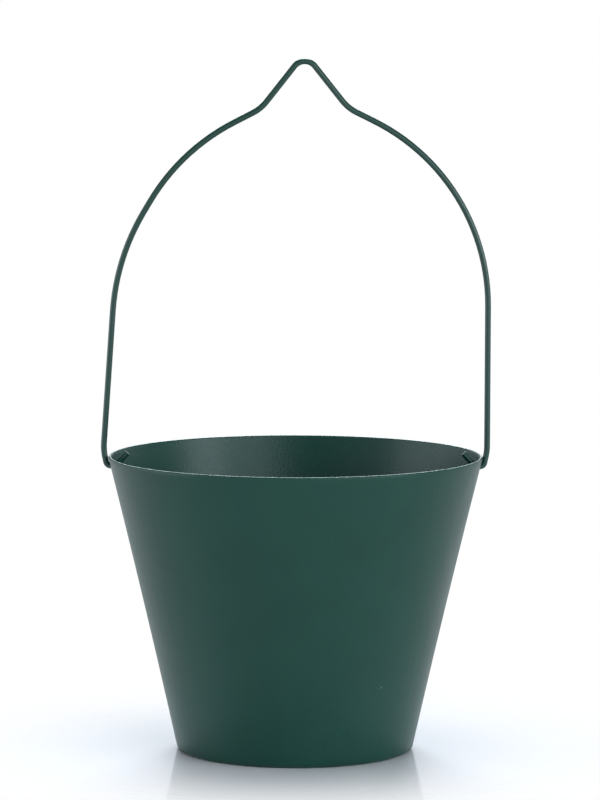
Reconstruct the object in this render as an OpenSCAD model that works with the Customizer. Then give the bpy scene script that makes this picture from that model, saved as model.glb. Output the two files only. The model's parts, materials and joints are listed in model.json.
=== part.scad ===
// Florist bucket: a tapered moulded shell with a bent wire bail.
// The bucket stands on Z = 0 with its axis on Z. The bail lies in the XZ
// plane when upright and turns about an axis along X through two holes
// punched just below the rim. All dimensions are in millimetres.

/* [Bucket] */
// Outside diameter of the rim
rim_d = 251; // [220:1:280]
// Outside diameter of the base, measured where the wall would meet the floor
base_d = 158.4; // [140:0.2:190]
// Height of the bucket from the floor to the top of the rim
bucket_h = 198.5; // [160:0.5:240]
// How far the wall bows inwards from a straight taper, at mid height
wall_bow = 0.7; // [0:0.1:2]
// Thickness of the side wall
wall_t = 2; // [1.6:0.1:3]
// Thickness of the base
base_t = 2.6; // [2:0.1:4]
// Radius of the outer edge between the base and the wall
foot_r = 4; // [1.5:0.1:6]
// Radius of the inner corner between the base and the wall
floor_r = 6; // [3:0.5:12]
// How far the middle of the underside is raised off the floor
foot_lift = 1.4; // [0.5:0.1:1.8]
// Width of the flat ring that the bucket stands on
foot_ring_w = 6; // [4:0.5:12]

/* [Handle holes] */
// Depth of the hole centres below the top of the rim
hole_drop = 7.1; // [6:0.1:12]
// Diameter of the holes that the wire passes through
hole_d = 5; // [4.6:0.1:6]

/* [Bail wire] */
// Diameter of the wire
wire_d = 4; // [3:0.1:4.4]
// Distance from the rim's edge to the centreline of the left leg, at its foot
left_leg_gap = 3.4; // [3:0.1:6]
// Distance from the rim's edge to the centreline of the right leg
right_leg_gap = 3.1; // [3:0.1:6]
// Height of the corner of the peak above the holes, before it is rounded
peak_h = 276.4; // [250:0.2:320]
// Sideways offset of the peak from the middle of the bucket
peak_shift = 5.5; // [-8:0.5:8]
// Centreline radius of the peak
peak_r = 8.7; // [6:0.1:12]
// Height above the holes of the reverse bend to the left of the peak
left_neck_h = 239.5; // [225:0.5:245]
// Height above the holes of the reverse bend to the right of the peak
right_neck_h = 240; // [225:0.5:245]
// Distance of each reverse bend from the peak, measured sideways
neck_w = 29; // [24:1:34]
// Centreline radius of the reverse bends
neck_r = 28; // [15:1:35]
// Height of the right shoulder's corner above the holes, before it is rounded
right_shoulder_h = 193.5; // [188:0.5:200]
// Centreline radius of the right shoulder
right_shoulder_r = 138; // [110:1:140]
// Corner where the left leg starts to curve over, as X and height above the holes
left_shoulder_low = [-120, 139.5]; // [-140:0.5:240]
// Corner where the left shoulder runs into the top, as X and height above the holes
left_shoulder_high = [-77, 212]; // [-140:0.5:240]
// Centreline radius of the lower part of the left shoulder
left_low_r = 149; // [120:1:150]
// Centreline radius of the upper part of the left shoulder
left_high_r = 140; // [120:1:141]

/* [Bail hooks] */
// Height above the holes at which each leg turns in towards the bucket
ankle_h = 10.6; // [9:0.1:14]
// Centreline radius of that slight turn
ankle_r = 35; // [20:1:40]
// Distance that each leg moves in between that turn and the hole
ankle_in = 2.3; // [1:0.1:2.5]
// Centreline radius of the outer bend at the hole
hook_r = 3.2; // [2.8:0.1:3.4]
// Centreline radius of the inner bend at the hole
stub_r = 4; // [3.6:0.1:4.2]
// Distance of the inner bend's corner from the rim's edge
stub_corner_in = 4.8; // [4:0.1:5]
// Distance of the cut end of the wire from the rim's edge
stub_end_in = 12.8; // [11:0.1:14]
// Height of the cut end of the wire above the holes
stub_h = 8.75; // [8:0.05:10]

/* [Hidden] */

$fn = 96;

bucket_green = [0.20, 0.34, 0.31];
wire_green = [0.15, 0.27, 0.25];

rim_r = rim_d / 2;
base_r = base_d / 2;
lip_r = wall_t / 2;
lip_z = bucket_h - lip_r;
hole_z = bucket_h - hole_drop;
wire_r = wire_d / 2;
outline_steps = 12;
lip_steps = 8;
corner_steps = 6;
recess_slope = foot_lift;
hole_reach = 12;
// The bends are a hair thicker than the straight runs and lap over their
// ends, so that every joint between the two is a clean step
bend_extra_r = 0.01;
bend_lap = 0.1;

// ---------------------------------------------------------------- bucket

// Outer radius of the wall at height z, bowed in by a parabola
function outer_r(z) =
    base_r + (rim_r - base_r) * z / lip_z - 4 * wall_bow * (z / lip_z) * (1 - z / lip_z);

// Lean of the wall out of the vertical near height z, in degrees
function lean_at(z) = atan2(outer_r(z + 1) - outer_r(z), 1);

// Points on an arc in the outline's own plane, from angle a0 to angle a1
function arc_points(centre, r, a0, a1, steps) =
    [for (i = [0 : steps])
        let (a = a0 + (a1 - a0) * i / steps)
        centre + r * [cos(a), sin(a)]];

foot_lean = lean_at(foot_r);
foot_top = foot_r * (1 - sin(foot_lean));
foot_centre = [outer_r(foot_top) - foot_r * cos(foot_lean), foot_r];

floor_lean = lean_at(base_t + floor_r);
floor_top = base_t + floor_r * (1 - sin(floor_lean));
floor_centre = [outer_r(floor_top) - wall_t - floor_r * cos(floor_lean), base_t + floor_r];

ring_inner_r = foot_centre[0] - foot_ring_w;

// Outline of the shell from its axis, down the underside, up the outside,
// over the lip and back down the inside to the floor
shell_outline = concat(
    [[0, foot_lift], [ring_inner_r - recess_slope, foot_lift], [ring_inner_r, 0]],
    arc_points(foot_centre, foot_r, -90, -foot_lean, corner_steps),
    [for (i = [1 : outline_steps - 1])
        let (z = foot_top + (lip_z - foot_top) * i / outline_steps)
        [outer_r(z), z]],
    arc_points([rim_r - lip_r, lip_z], lip_r, 0, 180, lip_steps),
    [for (i = [1 : outline_steps - 1])
        let (z = lip_z + (floor_top - lip_z) * i / outline_steps)
        [outer_r(z) - wall_t, z]],
    arc_points(floor_centre, floor_r, -floor_lean, -90, corner_steps),
    [[0, base_t]]);

// Tapered shell with the two holes for the bail
module bucket() {
    color(bucket_green)
    difference() {
        rotate_extrude($fn = 180)
            polygon(shell_outline);
        for (side = [-1, 1])
            translate([side * (outer_r(hole_z) - hole_reach / 2), 0, hole_z])
                rotate([0, side * 90, 0])
                    cylinder(h = hole_reach, d = hole_d);
    }
}

// ------------------------------------------------------------------ bail

left_leg_x = -(rim_r + left_leg_gap);
right_leg_x = rim_r + right_leg_gap;

// Corners of the wire's centreline from the left cut end to the right one.
// Each is [X, height above the holes, centreline radius]; the ends have none.
bail_corners = [
    [-(rim_r - stub_end_in), stub_h, 0],
    [-(rim_r - stub_corner_in), 0, stub_r],
    [left_leg_x + ankle_in, 0, hook_r],
    [left_leg_x, ankle_h, ankle_r],
    [left_shoulder_low[0], left_shoulder_low[1], left_low_r],
    [left_shoulder_high[0], left_shoulder_high[1], left_high_r],
    [peak_shift - neck_w, left_neck_h, neck_r],
    [peak_shift, peak_h, peak_r],
    [peak_shift + neck_w, right_neck_h, neck_r],
    [right_leg_x, right_shoulder_h, right_shoulder_r],
    [right_leg_x, ankle_h, ankle_r],
    [right_leg_x - ankle_in, 0, hook_r],
    [rim_r - stub_corner_in, 0, stub_r],
    [rim_r - stub_end_in, stub_h, 0]];

last_corner = len(bail_corners) - 1;

function corner(i) = [bail_corners[i][0], bail_corners[i][1]];
function bend_r(i) = bail_corners[i][2];
function unit(v) = v / norm(v);
function is_end(i) = i == 0 || i == last_corner;

// Direction of the straight run that leaves corner i
function run_dir(i) = unit(corner(i + 1) - corner(i));

// Signed turn at corner i in degrees, positive towards the left of travel
function turn(i) =
    let (a = run_dir(i - 1), b = run_dir(i))
    atan2(a[0] * b[1] - a[1] * b[0], a * b);

// Distance from corner i to the start or end of its bend
function setback(i) = is_end(i) ? 0 : bend_r(i) * tan(abs(turn(i)) / 2);

// Centre of the bend at corner i
function bend_centre(i) =
    let (start = corner(i) - setback(i) * run_dir(i - 1), side = sign(turn(i)))
    start + side * bend_r(i) * [-run_dir(i - 1)[1], run_dir(i - 1)[0]];

// Straight piece of wire between two points of the XZ plane
module wire_run(a, b) {
    translate([a[0], 0, a[1]])
        rotate([0, atan2(b[0] - a[0], b[1] - a[1]), 0])
            cylinder(h = norm(b - a), r = wire_r, $fn = 48);
}

// Curved piece of wire at corner i, lapping a little over the runs beside it
module wire_bend(i) {
    side = sign(turn(i));
    first_dir = run_dir(i - 1);
    start_angle = atan2(-side * first_dir[0], side * first_dir[1]);
    low_angle = min(start_angle, start_angle + turn(i));
    lap_angle = bend_lap / bend_r(i) * 180 / PI;
    translate([bend_centre(i)[0], 0, bend_centre(i)[1]])
        rotate([90, 0, 0])
            rotate([0, 0, low_angle - lap_angle])
                rotate_extrude(angle = abs(turn(i)) + 2 * lap_angle, $fn = 360)
                    translate([bend_r(i), 0])
                        circle(r = wire_r + bend_extra_r, $fn = 48);
}

// One round wire, bent into a bail with a hook at each end
module bail() {
    color(wire_green)
    translate([0, 0, hole_z])
        union() {
            for (i = [0 : last_corner - 1])
                wire_run(
                    corner(i) + setback(i) * run_dir(i),
                    corner(i + 1) - setback(i + 1) * run_dir(i));
            for (i = [1 : last_corner - 1])
                wire_bend(i);
        }
}

bucket();
bail();
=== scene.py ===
"""Florist bucket: the looks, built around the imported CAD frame.

The bucket is a tapered moulded shell and the bail is one bent, coated wire.
Both are made here as finer meshes than the CAD ones that they stand for.
Lengths in the tables below are millimetres; Blender works in metres.
"""
import json
import math

import bmesh
import bpy
from mathutils import Matrix, Vector


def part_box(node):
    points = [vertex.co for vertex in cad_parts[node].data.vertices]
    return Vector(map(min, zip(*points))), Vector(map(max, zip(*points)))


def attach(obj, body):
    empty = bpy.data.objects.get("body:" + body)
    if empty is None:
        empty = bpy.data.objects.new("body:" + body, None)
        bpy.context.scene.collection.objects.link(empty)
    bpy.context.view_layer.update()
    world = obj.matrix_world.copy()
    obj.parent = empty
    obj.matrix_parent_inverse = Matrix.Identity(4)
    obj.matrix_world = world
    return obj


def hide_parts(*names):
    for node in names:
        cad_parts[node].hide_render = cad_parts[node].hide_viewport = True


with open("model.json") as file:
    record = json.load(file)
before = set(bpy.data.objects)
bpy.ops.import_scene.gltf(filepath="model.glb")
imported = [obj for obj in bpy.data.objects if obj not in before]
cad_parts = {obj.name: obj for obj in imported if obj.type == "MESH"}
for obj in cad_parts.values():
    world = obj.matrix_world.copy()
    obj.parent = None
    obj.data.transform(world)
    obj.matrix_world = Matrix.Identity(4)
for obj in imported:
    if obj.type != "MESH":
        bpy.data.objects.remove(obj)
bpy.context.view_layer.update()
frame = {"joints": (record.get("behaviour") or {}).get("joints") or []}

MM = 0.001

# ------------------------------------------------------------ dimensions

bucket_low, bucket_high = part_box("bucket")
RIM_R = bucket_high.x
BUCKET_H = bucket_high.z
HOLE_Z = frame["joints"][0]["pos_m"][2]

BASE_R = 79.2 * MM
WALL_T = 2.0 * MM
BASE_T = 2.6 * MM
WALL_BOW = 0.7 * MM
FOOT_R = 4.0 * MM
FLOOR_R = 6.0 * MM
FOOT_LIFT = 1.4 * MM
FOOT_RING_W = 6.0 * MM
GATE_R = 4.0 * MM
GATE_DEPTH = 0.5 * MM
HOLE_R = 2.5 * MM
HOLE_EDGE = 0.3 * MM
PUNCH_REACH = 12 * MM
LIP_R = WALL_T / 2
LIP_Z = BUCKET_H - LIP_R

WIRE_R = 2.0 * MM
CUT_EDGE = 0.25 * MM

# Corners of the wire's centreline from the left cut end to the right one:
# X, height above the holes and bend radius, in millimetres
BAIL_CORNERS = [
    (-112.7, 8.75, 0),
    (-120.7, 0, 4),
    (-126.6, 0, 3.2),
    (-128.9, 10.6, 35),
    (-120, 139.5, 149),
    (-77, 212, 140),
    (-23.5, 239.5, 28),
    (5.5, 276.4, 8.7),
    (34.5, 240, 28),
    (128.6, 193.5, 138),
    (128.6, 10.6, 35),
    (126.3, 0, 3.2),
    (120.7, 0, 4),
    (112.7, 8.75, 0),
]

AROUND_BUCKET = 240
AROUND_WIRE = 32
SHEET_R = 1.6


# ---------------------------------------------------------------- finishes

SHELL_GREEN = (0.0022, 0.0410, 0.0292)
SHELL_GREEN_LIGHT = (0.0028, 0.0450, 0.0322)
SHELL_RUBBED = (0.020, 0.085, 0.068)
SHELL_ROUGH = 0.37
SHELL_SHEEN = 0.31
SHELL_GRAIN_DEPTH = 0.16 * MM
LIP_WEAR = 0.45
LIP_GRAIN = 0.15

WIRE_GREEN = (0.0050, 0.0400, 0.0290)
WIRE_GREEN_LIGHT = (0.0060, 0.0440, 0.0320)
WIRE_RUBBED = (0.015, 0.060, 0.048)
WIRE_ROUGH = 0.33
WIRE_SHEEN = 0.5
WIRE_PEEL_DEPTH = 0.02 * MM

DUST = (0.09, 0.14, 0.12)
ROUGH_DRIFT = 0.02
RUB_POLISH = 0.12

SHEET_WHITE = (0.95, 0.90, 0.95)
SHEET_ROUGH = 0.06
SHEET_FADE = (0.075, 0.28)

# ------------------------------------------------------------------ lights

WALL_GLOW = (0.83, 0.86, 0.91)
WALL_TOP = (0.15, 0.5)
LIGHT_TINT = (0.82, 0.95, 1.0)

# Each soft light: name, bearing and height in degrees, its spread seen
# from the bucket in degrees, strength
SOFT_LIGHTS = [
    ("overhead", 0, 88, 50, 1.15),
    ("behind_and_above", 0, 35, 30, 3.1),
    ("key", 152, 18, 34, 0.80),
    ("right_front", 118, 14, 30, 1.35),
    ("front_high", 172, 65, 30, 0.2),
    ("left", 262, 8, 36, 0.85),
    ("left_back", 288, 10, 30, 0.26),
    ("left_front", 225, 30, 30, 0.15),
]


# ---------------------------------------------------------------- camera

def place_camera():
    """Long lens, a little above the rim, looking slightly down."""
    distance = 2.9344
    height = 0.5357
    tilt_down = math.radians(5.833)
    heading = math.radians(-0.0573)
    roll = math.radians(0.138)
    data = bpy.data.cameras.new("camera")
    data.sensor_fit = "HORIZONTAL"
    data.sensor_width = 36
    data.lens = 263.95
    data.clip_end = 100
    camera = bpy.data.objects.new("camera", data)
    bpy.context.scene.collection.objects.link(camera)
    camera.matrix_world = (
        Matrix.Translation((0, -distance, height))
        @ Matrix.Rotation(heading, 4, "Z")
        @ Matrix.Rotation(math.pi / 2 - tilt_down, 4, "X")
        @ Matrix.Rotation(roll, 4, "Z")
    )
    bpy.context.scene.camera = camera


# --------------------------------------------------------------- modelling

def new_piece(name, bm, body, cad_node, material):
    """Makes a finished bmesh an object that stands for a CAD node."""
    mesh = bpy.data.meshes.new(name)
    bm.to_mesh(mesh)
    bm.free()
    piece = bpy.data.objects.new(name, mesh)
    bpy.context.scene.collection.objects.link(piece)
    mesh.materials.append(material)
    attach(piece, body)
    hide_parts(cad_node)
    return piece


def outer_r(z):
    """Outside radius of the wall at height z, bowed in by a parabola."""
    t = z / LIP_Z
    return BASE_R + (RIM_R - BASE_R) * t - 4 * WALL_BOW * t * (1 - t)


def lean_at(z):
    """Lean of the wall out of the vertical at height z."""
    return math.atan2(outer_r(z + MM) - outer_r(z), MM)


def arc(centre, radius, start, end, steps):
    """Points on an arc in the outline's plane, both ends included."""
    angles = [start + (end - start) * i / steps for i in range(steps + 1)]
    return [(centre[0] + radius * math.cos(a), centre[1] + radius * math.sin(a)) for a in angles]


def shell_outline():
    """The shell's section as (radius, height), from the underside's middle
    out, up the outside, over the lip and down the inside to the floor."""
    foot_lean = lean_at(FOOT_R)
    foot_top = FOOT_R * (1 - math.sin(foot_lean))
    foot_centre = (outer_r(foot_top) - FOOT_R * math.cos(foot_lean), FOOT_R)
    floor_lean = lean_at(BASE_T + FLOOR_R)
    floor_top = BASE_T + FLOOR_R * (1 - math.sin(floor_lean))
    floor_centre = (outer_r(floor_top) - WALL_T - FLOOR_R * math.cos(floor_lean), BASE_T + FLOOR_R)
    ring_r = foot_centre[0] - FOOT_RING_W
    wall_steps = 40
    outside = [foot_top + (LIP_Z - foot_top) * i / wall_steps for i in range(1, wall_steps)]
    inside = [LIP_Z + (floor_top - LIP_Z) * i / wall_steps for i in range(1, wall_steps)]
    return (
        [(0, FOOT_LIFT + GATE_DEPTH), (GATE_R * 0.8, FOOT_LIFT + GATE_DEPTH), (GATE_R, FOOT_LIFT)]
        + [(ring_r - 2 * FOOT_LIFT, FOOT_LIFT)]
        + arc((ring_r - FOOT_LIFT, 0), FOOT_LIFT, math.pi / 2, math.radians(30), 4)
        + [(ring_r, 0)]
        + arc(foot_centre, FOOT_R, -math.pi / 2, -foot_lean, 10)
        + [(outer_r(z), z) for z in outside]
        + arc((RIM_R - LIP_R, LIP_Z), LIP_R, 0, math.pi, 16)
        + [(outer_r(z) - WALL_T, z) for z in inside]
        + arc(floor_centre, FLOOR_R, -floor_lean, -math.pi / 2, 12)
        + [(floor_centre[0] * 0.5, BASE_T), (0, BASE_T)]
    )


def turned_shell():
    """Turns the section about Z into a closed shell."""
    bm = bmesh.new()
    points = [bm.verts.new((r, 0, z)) for r, z in shell_outline()]
    edges = [bm.edges.new(pair) for pair in zip(points, points[1:])]
    bmesh.ops.spin(
        bm, geom=points + edges, cent=(0, 0, 0), axis=(0, 0, 1),
        angle=2 * math.pi, steps=AROUND_BUCKET, use_merge=True, use_duplicate=False,
    )
    bmesh.ops.remove_doubles(bm, verts=bm.verts, dist=1e-6)
    bmesh.ops.recalc_face_normals(bm, faces=bm.faces)
    return bm


def punched(bm):
    """Cuts the two bail holes through the wall and eases their edges."""
    mesh = bpy.data.meshes.new("shell")
    bm.to_mesh(mesh)
    bm.free()
    shell = bpy.data.objects.new("shell", mesh)
    bpy.context.scene.collection.objects.link(shell)
    punch_bm = bmesh.new()
    for side in (-1, 1):
        centre = Matrix.Translation((side * outer_r(HOLE_Z), 0, HOLE_Z))
        place = centre @ Matrix.Rotation(math.pi / 2, 4, "Y")
        bmesh.ops.create_cone(
            punch_bm, cap_ends=True, segments=48, radius1=HOLE_R, radius2=HOLE_R,
            depth=PUNCH_REACH, matrix=place,
        )
    punch_mesh = bpy.data.meshes.new("punch")
    punch_bm.to_mesh(punch_mesh)
    punch_bm.free()
    punch = bpy.data.objects.new("punch", punch_mesh)
    bpy.context.scene.collection.objects.link(punch)
    cut = shell.modifiers.new("holes", "BOOLEAN")
    cut.operation = "DIFFERENCE"
    cut.solver = "EXACT"
    cut.object = punch
    bpy.context.view_layer.update()
    finished = shell.evaluated_get(bpy.context.evaluated_depsgraph_get())
    bm = bmesh.new()
    bm.from_mesh(finished.to_mesh())
    finished.to_mesh_clear()
    bpy.data.objects.remove(shell)
    bpy.data.objects.remove(punch)

    def on_a_hole(edge):
        ends = [Vector((0, v.co.y, v.co.z - HOLE_Z)).length for v in edge.verts]
        return all(abs(d - HOLE_R) < 0.02 * MM for d in ends) and edge.calc_face_angle(0) > 1

    mouths = [e for e in bm.edges if on_a_hole(e)]
    bmesh.ops.bevel(
        bm, geom=mouths, offset=HOLE_EDGE, offset_type="OFFSET", affect="EDGES",
        segments=2, profile=0.5, material=-1, clamp_overlap=True,
    )
    return bm


def make_bucket(material):
    bm = punched(turned_shell())
    for face in bm.faces:
        face.smooth = True
    return new_piece("bucket_shell", bm, "bucket", "bucket", material)


def unit(a, b):
    return (b - a).normalized()


def make_bail(material):
    """Carries a ring of points along the wire's corners: straight runs are
    extruded and each bend is spun about its own centre."""
    corners = [Vector((x * MM, 0, HOLE_Z + h * MM)) for x, h, _ in BAIL_CORNERS]
    radii = [r * MM for _, _, r in BAIL_CORNERS]
    bm = bmesh.new()
    first_dir = unit(corners[0], corners[1])
    facing = Vector((0, 0, 1)).rotation_difference(first_dir).to_matrix().to_4x4()
    ring = bmesh.ops.create_circle(
        bm, cap_ends=False, segments=AROUND_WIRE, radius=WIRE_R,
        matrix=Matrix.Translation(corners[0]) @ facing,
    )["verts"]
    start_edges = list({e for v in ring for e in v.link_edges})
    edges = start_edges
    here = corners[0]
    for i in range(1, len(corners)):
        into = unit(corners[i - 1], corners[i])
        setback = 0
        if i < len(corners) - 1:
            out = unit(corners[i], corners[i + 1])
            turn = into.angle(out)
            setback = radii[i] * math.tan(turn / 2)
        run_end = corners[i] - into * setback
        made = bmesh.ops.extrude_edge_only(bm, edges=edges)["geom"]
        verts = [g for g in made if isinstance(g, bmesh.types.BMVert)]
        edges = [g for g in made if isinstance(g, bmesh.types.BMEdge)]
        bmesh.ops.translate(bm, verts=verts, vec=run_end - here)
        here = run_end
        if setback:
            axis = into.cross(out).normalized()
            centre = here + axis.cross(into) * radii[i]
            steps = max(6, round(turn / math.radians(4)), round(turn * radii[i] / (6 * MM)))
            made = bmesh.ops.spin(
                bm, geom=edges + verts, cent=centre, axis=axis, angle=turn,
                steps=steps, use_merge=False, use_duplicate=False,
            )["geom_last"]
            edges = [g for g in made if isinstance(g, bmesh.types.BMEdge)]
            here = corners[i] + out * setback
    for rim in (start_edges, edges):
        cap = bmesh.ops.contextual_create(bm, geom=rim)["faces"]
        bmesh.ops.bevel(
            bm, geom=list(cap[0].edges), offset=CUT_EDGE, offset_type="OFFSET", affect="EDGES",
            segments=3, profile=0.5, material=-1,
        )
    bmesh.ops.remove_doubles(bm, verts=bm.verts, dist=1e-7)
    bmesh.ops.recalc_face_normals(bm, faces=bm.faces)
    for face in bm.faces:
        face.smooth = len(face.verts) == 4
    return new_piece("bail_wire", bm, "bail", "bail", material)


# ------------------------------------------------------------ node helpers

def add_node(tree, kind, **settings):
    """Adds a node; settings named after an input give its plain value."""
    node = tree.nodes.new(kind)
    for key, value in settings.items():
        if hasattr(node, key):
            setattr(node, key, value)
        else:
            node.inputs[key.replace("_", " ")].default_value = value
    return node


def math_node(tree, operation, a, b=None):
    """A Math node; each operand is a socket to link or a plain number."""
    node = add_node(tree, "ShaderNodeMath", operation=operation)
    for slot, operand in enumerate((a, b)):
        if isinstance(operand, bpy.types.NodeSocket):
            tree.links.new(operand, node.inputs[slot])
        elif operand is not None:
            node.inputs[slot].default_value = operand
    return node.outputs["Value"]


def ramp_value(tree, value, low, high, low_out=0.0, high_out=1.0):
    """Maps value smoothly from low..high to low_out..high_out."""
    node = add_node(tree, "ShaderNodeMapRange", interpolation_type="SMOOTHSTEP")
    node.inputs["From Min"].default_value = low
    node.inputs["From Max"].default_value = high
    node.inputs["To Min"].default_value = low_out
    node.inputs["To Max"].default_value = high_out
    tree.links.new(value, node.inputs["Value"])
    return node.outputs["Result"]


def blend_colors(tree, mask, base, over):
    """Base colour, with over laid on it by mask; both may be sockets."""
    node = add_node(tree, "ShaderNodeMix", data_type="RGBA")
    tree.links.new(mask, node.inputs["Factor"])
    for socket, color in zip([s for s in node.inputs if s.type == "RGBA"], (base, over)):
        if isinstance(color, bpy.types.NodeSocket):
            tree.links.new(color, socket)
        else:
            socket.default_value = (*color, 1)
    return next(s for s in node.outputs if s.type == "RGBA")


def new_group(name, inputs, outputs):
    """An empty node group, its sockets given as (name, socket type)."""
    group = bpy.data.node_groups.new(name, "ShaderNodeTree")
    for socket_name, kind in inputs:
        group.interface.new_socket(socket_name, in_out="INPUT", socket_type=kind)
    for socket_name, kind in outputs:
        group.interface.new_socket(socket_name, in_out="OUTPUT", socket_type=kind)
    return group, group.nodes.new("NodeGroupInput"), group.nodes.new("NodeGroupOutput")


def place_group(tree, group, vector, **values):
    node = tree.nodes.new("ShaderNodeGroup")
    node.node_tree = group
    tree.links.new(vector, node.inputs["Vector"])
    for key, value in values.items():
        socket = node.inputs[key.replace("_", " ")]
        if isinstance(value, bpy.types.NodeSocket):
            tree.links.new(value, socket)
        else:
            socket.default_value = value
    return node


# -------------------------------------------------------- shared surface

VECTOR = ("Vector", "NodeSocketVector")
FLOAT = "NodeSocketFloat"


def grain_group():
    """Fine pebbled grain: its height, and slow drifts in tone."""
    group, given, out = new_group(
        "fine grain",
        [VECTOR, ("Pebbles per Metre", FLOAT), ("Drifts per Metre", FLOAT)],
        [("Height", FLOAT), ("Drift", FLOAT)],
    )
    pebbles = add_node(group, "ShaderNodeTexNoise", Detail=1.5, Roughness=0.5)
    drifts = add_node(group, "ShaderNodeTexNoise", Detail=2.0, Roughness=0.55)
    group.links.new(given.outputs["Vector"], pebbles.inputs["Vector"])
    group.links.new(given.outputs["Vector"], drifts.inputs["Vector"])
    group.links.new(given.outputs["Pebbles per Metre"], pebbles.inputs["Scale"])
    group.links.new(given.outputs["Drifts per Metre"], drifts.inputs["Scale"])
    group.links.new(pebbles.outputs["Fac"], out.inputs["Height"])
    group.links.new(ramp_value(group, drifts.outputs["Fac"], 0.3, 0.7), out.inputs["Drift"])
    return group


def dust_group():
    """Scattered specks of dust: one in a few cells holds a small dot."""
    group, given, out = new_group(
        "dust specks",
        [VECTOR, ("Cells per Metre", FLOAT), ("Share", FLOAT)],
        [("Specks", FLOAT)],
    )
    cells = add_node(group, "ShaderNodeTexVoronoi", Randomness=1.0)
    group.links.new(given.outputs["Vector"], cells.inputs["Vector"])
    group.links.new(given.outputs["Cells per Metre"], cells.inputs["Scale"])
    draw = group.nodes.new("ShaderNodeSeparateColor")
    group.links.new(cells.outputs["Color"], draw.inputs["Color"])
    chosen = math_node(group, "LESS_THAN", draw.outputs["Red"], given.outputs["Share"])
    size = math_node(group, "MULTIPLY", draw.outputs["Green"], 0.09)
    inside = math_node(group, "LESS_THAN", cells.outputs["Distance"], size)
    group.links.new(math_node(group, "MULTIPLY", chosen, inside), out.inputs["Specks"])
    return group


def rub_group():
    """Rubbed patches: where the given place mask beats a broken noise."""
    group, given, out = new_group(
        "rubbed edge",
        [VECTOR, ("Place", FLOAT), ("Breaks per Metre", FLOAT)],
        [("Rub", FLOAT)],
    )
    breaks = add_node(group, "ShaderNodeTexNoise", Detail=4.0, Roughness=0.65)
    group.links.new(given.outputs["Vector"], breaks.inputs["Vector"])
    group.links.new(given.outputs["Breaks per Metre"], breaks.inputs["Scale"])
    gap = math_node(group, "SUBTRACT", given.outputs["Place"], breaks.outputs["Fac"])
    group.links.new(ramp_value(group, gap, 0.0, 0.5), out.inputs["Rub"])
    return group


# --------------------------------------------------------------- materials

def new_material(name, roughness=0.5, specular=0.5):
    material = bpy.data.materials.new(name)
    material.use_nodes = True
    tree = material.node_tree
    shader = tree.nodes["Principled BSDF"]
    shader.inputs["Roughness"].default_value = roughness
    shader.inputs["Specular IOR Level"].default_value = specular
    place = tree.nodes.new("ShaderNodeTexCoord").outputs["Object"]
    return material, tree, shader, place


def drifting_roughness(tree, surface, middle):
    """Roughness that wanders a little about its middle value."""
    low = middle - ROUGH_DRIFT
    return ramp_value(tree, surface.outputs["Drift"], 0.0, 1.0, low, middle + ROUGH_DRIFT)


def finish_surface(tree, shader, color, roughness, height, depth):
    """Links a colour, a roughness and a grain of the given depth."""
    tree.links.new(color, shader.inputs["Base Color"])
    tree.links.new(roughness, shader.inputs["Roughness"])
    bump = add_node(tree, "ShaderNodeBump", Strength=1.0, Distance=depth)
    tree.links.new(height, bump.inputs["Height"])
    tree.links.new(bump.outputs["Normal"], shader.inputs["Normal"])


def shell_material(grain, dust, rub):
    """Deep green moulded plastic with a fine matt grain, smoother on the lip."""
    material, tree, shader, place = new_material("moulded green", specular=SHELL_SHEEN)
    axes = tree.nodes.new("ShaderNodeSeparateXYZ")
    tree.links.new(place, axes.inputs["Vector"])
    surface = place_group(tree, grain, place, Pebbles_per_Metre=900.0, Drifts_per_Metre=22.0)
    specks = place_group(tree, dust, place, Cells_per_Metre=90.0, Share=0.10)
    lip = ramp_value(tree, axes.outputs["Z"], LIP_Z, BUCKET_H, 0.0, LIP_WEAR)
    grained = ramp_value(tree, axes.outputs["Z"], LIP_Z - LIP_R, LIP_Z, 1.0, LIP_GRAIN)
    rubbed = place_group(tree, rub, place, Place=lip, Breaks_per_Metre=260.0)
    color = blend_colors(tree, surface.outputs["Drift"], SHELL_GREEN, SHELL_GREEN_LIGHT)
    color = blend_colors(tree, rubbed.outputs["Rub"], color, SHELL_RUBBED)
    color = blend_colors(tree, specks.outputs["Specks"], color, DUST)
    matt = drifting_roughness(tree, surface, SHELL_ROUGH)
    smoothed = math_node(tree, "MULTIPLY", rubbed.outputs["Rub"], RUB_POLISH)
    matt = math_node(tree, "SUBTRACT", matt, smoothed)
    grain_height = math_node(tree, "MULTIPLY", surface.outputs["Height"], grained)
    finish_surface(tree, shader, color, matt, grain_height, SHELL_GRAIN_DEPTH)
    return material


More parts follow.
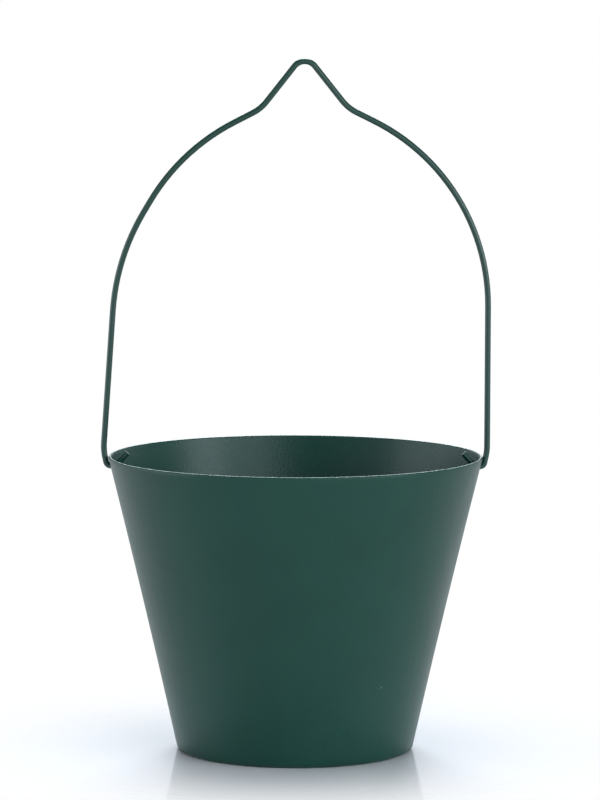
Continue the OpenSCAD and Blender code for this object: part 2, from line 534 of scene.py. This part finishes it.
def wire_material(grain, dust, rub):
    """Green powder coat on the wire, rubbed where it turns in the holes."""
    material, tree, shader, place = new_material("coated wire", specular=WIRE_SHEEN)
    axes = tree.nodes.new("ShaderNodeSeparateXYZ")
    tree.links.new(place, axes.inputs["Vector"])
    surface = place_group(tree, grain, place, Pebbles_per_Metre=1100.0, Drifts_per_Metre=35.0)
    specks = place_group(tree, dust, place, Cells_per_Metre=120.0, Share=0.08)
    reach = math_node(tree, "ABSOLUTE", axes.outputs["X"])
    in_hole = math_node(tree, "ABSOLUTE", math_node(tree, "SUBTRACT", reach, RIM_R - LIP_R))
    near_hole = ramp_value(tree, in_hole, 1.0 * MM, 4.0 * MM, 0.75, 0.0)
    low = ramp_value(tree, axes.outputs["Z"], HOLE_Z + 2 * MM, HOLE_Z + 6 * MM, 1.0, 0.0)
    bearing = math_node(tree, "MULTIPLY", near_hole, low)
    rubbed = place_group(tree, rub, place, Place=bearing, Breaks_per_Metre=420.0)
    color = blend_colors(tree, surface.outputs["Drift"], WIRE_GREEN, WIRE_GREEN_LIGHT)
    color = blend_colors(tree, rubbed.outputs["Rub"], color, WIRE_RUBBED)
    color = blend_colors(tree, specks.outputs["Specks"], color, DUST)
    matt = drifting_roughness(tree, surface, WIRE_ROUGH)
    finish_surface(tree, shader, color, matt, surface.outputs["Height"], WIRE_PEEL_DEPTH)
    return material


def floor_material():
    """Plain white sheet with a soft gloss, fading out into the room."""
    material, tree, shader, place = new_material("white sheet", roughness=SHEET_ROUGH)
    shader.inputs["Base Color"].default_value = (*SHEET_WHITE, 1)
    away = add_node(tree, "ShaderNodeVectorMath", operation="LENGTH")
    tree.links.new(place, away.inputs[0])
    solid = ramp_value(tree, away.outputs["Value"], *SHEET_FADE, 1.0, 0.0)
    tree.links.new(solid, shader.inputs["Alpha"])
    return material


# ------------------------------------------------------------------ studio

def floor():
    bm = bmesh.new()
    bmesh.ops.create_circle(bm, cap_ends=True, segments=96, radius=SHEET_R)
    mesh = bpy.data.meshes.new("floor")
    bm.to_mesh(mesh)
    bm.free()
    piece = bpy.data.objects.new("floor", mesh)
    bpy.context.scene.collection.objects.link(piece)
    mesh.materials.append(floor_material())


def soft_light(name, bearing, height_angle, spread, strength):
    """A broad distant light on the bucket; bearing runs clockwise from
    straight behind it, seen from above."""
    data = bpy.data.lights.new(name, "SUN")
    data.angle = math.radians(spread)
    data.energy = strength
    data.color = LIGHT_TINT
    light = bpy.data.objects.new(name, data)
    bpy.context.scene.collection.objects.link(light)
    around = math.radians(bearing)
    up = math.radians(height_angle)
    towards = Vector((math.sin(around) * math.cos(up), math.cos(around) * math.cos(up), math.sin(up)))
    light.location = 2 * towards
    light.rotation_euler = (-towards).to_track_quat("-Z", "Y").to_euler()


def white_room():
    """White for the camera; for the light, a bright band of low walls."""
    room = bpy.data.worlds.new("white room")
    bpy.context.scene.world = room
    room.use_nodes = True
    tree = room.node_tree
    background = tree.nodes["Background"]
    direction = tree.nodes.new("ShaderNodeTexCoord").outputs["Generated"]
    axes = tree.nodes.new("ShaderNodeSeparateXYZ")
    tree.links.new(direction, axes.inputs["Vector"])
    wall = ramp_value(tree, axes.outputs["Z"], *WALL_TOP, 1.0, 0.0)
    walls = blend_colors(tree, wall, (0, 0, 0), WALL_GLOW)
    seen = tree.nodes.new("ShaderNodeLightPath").outputs["Is Camera Ray"]
    tree.links.new(blend_colors(tree, seen, walls, (1, 1, 1)), background.inputs["Color"])
    background.inputs["Strength"].default_value = 1.0


place_camera()
surface_groups = grain_group(), dust_group(), rub_group()
make_bucket(shell_material(*surface_groups))
make_bail(wire_material(*surface_groups))
floor()
for light in SOFT_LIGHTS:
    soft_light(*light)
white_room()
bpy.context.scene.view_settings.view_transform = "Standard"
